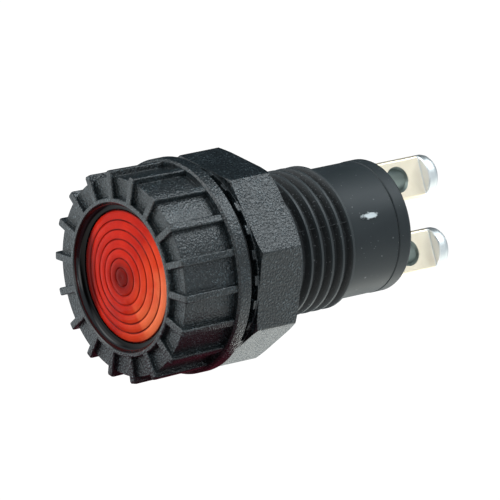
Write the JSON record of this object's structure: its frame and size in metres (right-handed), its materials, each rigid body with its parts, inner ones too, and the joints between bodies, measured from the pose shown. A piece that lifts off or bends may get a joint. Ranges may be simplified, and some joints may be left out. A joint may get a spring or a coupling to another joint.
{
  "type": "panel indicator lamp holder",
  "caption": "Round panel-mounted warning lamp holder: ribbed screw-on bezel, red stepped lens, bayonet bulb inside, threaded barrel with octagonal nut and two rod terminals.",
  "frame": {"origin": "centre of the housing flange's rear face, which seats on the front of the panel", "axes": "+Y along the lamp axis towards the terminals (the lens faces -Y), +Z from the lower terminal post to the upper one, +X the side of the milled terminal flats"},
  "size_m": [0.0326, 0.0603, 0.0326],
  "materials": {
    "black_nylon": "fine spark-eroded grain, black glass-filled nylon",
    "black_nylon_smooth": "smooth satin moulded black nylon",
    "lens_red": "clear red polycarbonate, polished, stepped rings",
    "seal_rubber": "matt black",
    "gasket_rubber": "matt black",
    "terminal_plated": "bright nickel plate over turned brass",
    "natural_insulator": "natural moulded nylon",
    "brass": "pressed brass",
    "spring_steel": "drawn spring wire",
    "cap_plated": "nickel plated pressed brass",
    "clear_glass": "clear drawn glass",
    "lead_wire": "drawn wire",
    "tungsten": "coiled wire",
    "black_glass": "fused black glass",
    "solder": "dull solder"
  },
  "bodies": {
    "housing": {"housing": "black_nylon_smooth", "panel_gasket": "gasket_rubber", "rear_plate": "black_nylon_smooth", "terminal_post_upper": "terminal_plated", "terminal_post_lower": "terminal_plated", "socket_insulator": "natural_insulator", "socket_shell": "brass", "shell_contact_strip": "brass", "center_contact_strip": "brass", "contact_spring": "spring_steel"},
    "lens": {"lens": "lens_red", "lens_seal": "seal_rubber"},
    "bezel": {"bezel": "black_nylon"},
    "lock_washer": {"lock_washer": "black_nylon"},
    "nut": {"nut": "black_nylon"},
    "contact_plunger": {"contact_plunger": "brass"},
    "bulb": {"bulb_cap": "cap_plated", "bulb_pins": "brass", "bulb_glass": "clear_glass", "bulb_stem": "clear_glass", "bulb_support_wires": "lead_wire", "bulb_filament": "tungsten", "bulb_insulator": "black_glass", "bulb_contact": "solder"}
  },
  "joints": [
    {"name": "bezel_lift", "type": "slide", "parent": "housing", "child": "lens", "axis": [0, -1, 0], "range_m": [0, 0.0051]},
    {"name": "bezel_turn", "type": "hinge", "parent": "lens", "child": "bezel", "pos_m": [0, 0, 0], "axis": [0, -1, 0], "range_deg": [0, 1224]},
    {"name": "nut_travel", "type": "slide", "parent": "housing", "child": "lock_washer", "axis": [0, 1, 0], "range_m": [0, 0.0135]},
    {"name": "nut_turn", "type": "hinge", "parent": "lock_washer", "child": "nut", "pos_m": [0, 0, 0], "axis": [0, 1, 0], "range_deg": [0, 2430]},
    {"name": "bulb_push", "type": "slide", "parent": "housing", "child": "contact_plunger", "axis": [0, 1, 0], "range_m": [0, 0.0012], "stiffness_N_per_m": 2500, "springref_m": -0.003, "deforming": ["contact_spring"]},
    {"name": "bulb_turn", "type": "hinge", "parent": "contact_plunger", "child": "bulb", "pos_m": [0, 0, 0], "axis": [0, -1, 0], "range_deg": [0, 40]}
  ],
  "couplings": [
    {"joint": "bezel_lift", "follows": "bezel_turn", "m_per_rad": 0.00023873},
    {"joint": "nut_travel", "follows": "nut_turn", "m_per_rad": 0.00031831}
  ]
}
